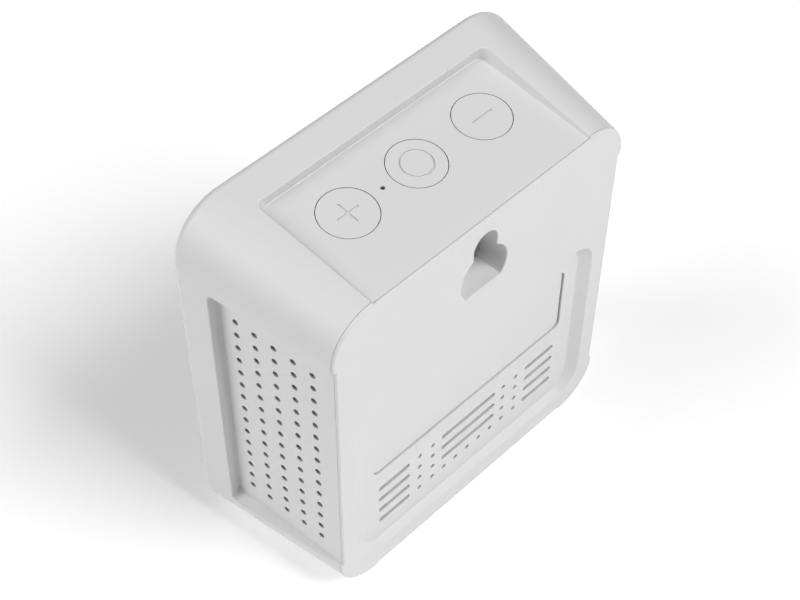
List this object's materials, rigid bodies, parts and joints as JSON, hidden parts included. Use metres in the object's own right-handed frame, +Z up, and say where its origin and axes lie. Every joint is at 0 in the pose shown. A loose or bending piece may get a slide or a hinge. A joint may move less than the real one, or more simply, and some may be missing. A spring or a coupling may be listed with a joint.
{
  "type": "air quality monitor",
  "caption": "Square tapered table or wall air quality monitor with perforated sides, round keys on top, a vented rear pocket, a battery door and a keyhole.",
  "frame": {"origin": "on the table, under the middle of the bounding box", "axes": "+Z up, the display faces -Y, the rear cover faces +Y, +X to the right as seen from the front"},
  "size_m": [0.0924, 0.0392, 0.0983],
  "materials": {
    "case_plastic": "fine satin texture",
    "lens": "polished, smoked",
    "display": "satin",
    "cell_sleeve": "shrink sleeve",
    "steel": "stamped and plated",
    "circuit_board": "solder mask",
    "dark_plastic": "moulded",
    "grey_plastic": "moulded",
    "filter_mesh": "fine weave",
    "ribbon": "polyimide film",
    "rubber": "matte"
  },
  "bodies": {
    "case": {"front_case": "case_plastic", "rear_cover": "case_plastic", "battery_cell": "cell_sleeve", "battery_contact": "steel", "battery_spring": "steel", "switch_plus": "grey_plastic", "switch_ring": "grey_plastic", "switch_minus": "grey_plastic", "button_board": "circuit_board", "button_board_screw_left": "steel", "button_board_screw_right": "steel", "light_sensor": "dark_plastic", "display_lens": "lens", "display_panel": "display", "main_board": "circuit_board", "board_screw_1": "steel", "board_screw_2": "steel", "board_screw_3": "steel", "board_screw_4": "steel", "display_ribbon": "ribbon", "button_ribbon": "ribbon", "usb_port": "steel", "particulate_sensor": "grey_plastic", "co2_sensor": "steel", "humidity_sensor": "circuit_board", "buzzer": "dark_plastic", "side_filter_right": "filter_mesh", "side_filter_left": "filter_mesh", "vent_filter": "filter_mesh", "rubber_foot_1": "rubber", "rubber_foot_2": "rubber", "rubber_foot_3": "rubber", "rubber_foot_4": "rubber"},
    "plus_key": {"button_plus": "case_plastic", "switch_plunger_plus": "dark_plastic"},
    "ring_key": {"button_ring": "case_plastic", "switch_plunger_ring": "dark_plastic"},
    "minus_key": {"button_minus": "case_plastic", "switch_plunger_minus": "dark_plastic"},
    "door": {"battery_door": "case_plastic"},
    "fan": {"sensor_fan": "dark_plastic"}
  },
  "joints": [
    {"name": "plus_press", "type": "slide", "parent": "case", "child": "plus_key", "axis": [0, -0.0823, -0.9966], "range_m": [0, 0.0005], "stiffness_N_per_m": 800},
    {"name": "ring_press", "type": "slide", "parent": "case", "child": "ring_key", "axis": [0, -0.0823, -0.9966], "range_m": [0, 0.0005], "stiffness_N_per_m": 800},
    {"name": "minus_press", "type": "slide", "parent": "case", "child": "minus_key", "axis": [0, -0.0823, -0.9966], "range_m": [0, 0.0005], "stiffness_N_per_m": 800},
    {"name": "door_pull", "type": "slide", "parent": "case", "child": "door", "axis": [0, 1, 0], "range_m": [0, 0.02]},
    {"name": "fan_spin", "type": "hinge", "parent": "case", "child": "fan", "pos_m": [0.014, 0.0087, 0.0211], "axis": [0, 1, 0], "continuous": true}
  ]
}
